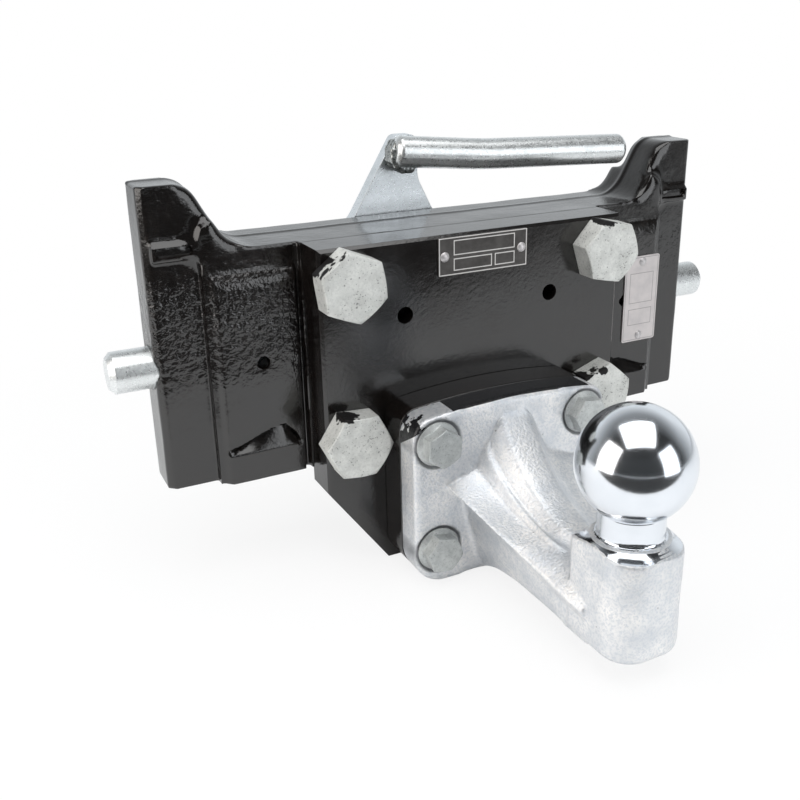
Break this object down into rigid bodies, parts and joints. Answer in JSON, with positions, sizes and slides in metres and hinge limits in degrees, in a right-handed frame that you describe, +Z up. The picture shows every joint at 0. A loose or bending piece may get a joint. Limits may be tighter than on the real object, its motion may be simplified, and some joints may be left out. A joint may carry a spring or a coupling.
{
  "type": "tow ball hitch",
  "caption": "Slide-in tow ball hitch carriage: forged rail frame with spring-loaded side locking pins, release lever with handle bar, bolted adapter plate and flanged 50 mm ball carrier.",
  "frame": {"origin": "centre of the coupling ball", "axes": "+X to the right when facing the ball, along the locking pins; +Y from the ball towards the tractor; +Z up, along the ball's neck"},
  "size_m": [0.35, 0.2324, 0.2057],
  "materials": {
    "frame_paint": "gloss black paint over a forged skin",
    "plate_paint": "gloss black paint",
    "carrier_zinc": "blasted and zinc plated, ball and neck polished",
    "pin_zinc": "turned and zinc plated",
    "lever_zinc": "zinc plated",
    "bar_zinc": "zinc plated, mottled",
    "bronze": "sintered bronze",
    "spring_steel": "bright steel",
    "bolt_galvanised": "dull galvanised",
    "flange_bolt_zinc": "dull zinc",
    "type_plate_dark": "dark anodised",
    "rating_plate_silver": "satin silver",
    "rivet_metal": "satin dome"
  },
  "bodies": {
    "carriage": {"guide_frame": "frame_paint", "adapter_plate": "plate_paint", "flange_spacer": "plate_paint", "ball_carrier": "carrier_zinc", "pivot_stud": "pin_zinc", "return_spring": "spring_steel", "pivot_retaining_ring": "spring_steel", "pivot_washer": "spring_steel", "spring_frame_peg": "spring_steel", "adapter_bolts": "bolt_galvanised", "flange_bolts": "flange_bolt_zinc", "type_plate": "type_plate_dark", "rating_plate": "rating_plate_silver", "type_plate_rivets": "rivet_metal", "rating_plate_rivets": "rivet_metal"},
    "lever": {"lever_plate": "lever_zinc", "handle_bar": "bar_zinc", "handle_weld": "lever_zinc", "pivot_bush": "bronze", "spring_lever_peg": "spring_steel"},
    "left_pin": {"left_locking_pin": "pin_zinc", "left_follower_peg": "pin_zinc"},
    "right_pin": {"right_locking_pin": "pin_zinc", "right_follower_peg": "pin_zinc"}
  },
  "joints": [
    {"name": "lever_turn", "type": "hinge", "parent": "carriage", "child": "lever", "pos_m": [0, 0.192, 0.0161], "axis": [0, -1, 0], "range_deg": [0, 32], "stiffness_Nm_per_rad": 4, "springref_deg": -28.65, "deforming": ["return_spring"]},
    {"name": "left_pin_slide", "type": "slide", "parent": "carriage", "child": "left_pin", "axis": [1, 0, 0], "range_m": [0, 0.021]},
    {"name": "right_pin_slide", "type": "slide", "parent": "carriage", "child": "right_pin", "axis": [-1, 0, 0], "range_m": [0, 0.021]}
  ],
  "couplings": [
    {"joint": "left_pin_slide", "follows": "lever_turn", "m_per_rad": 0.036705},
    {"joint": "right_pin_slide", "follows": "lever_turn", "m_per_rad": 0.036705}
  ]
}
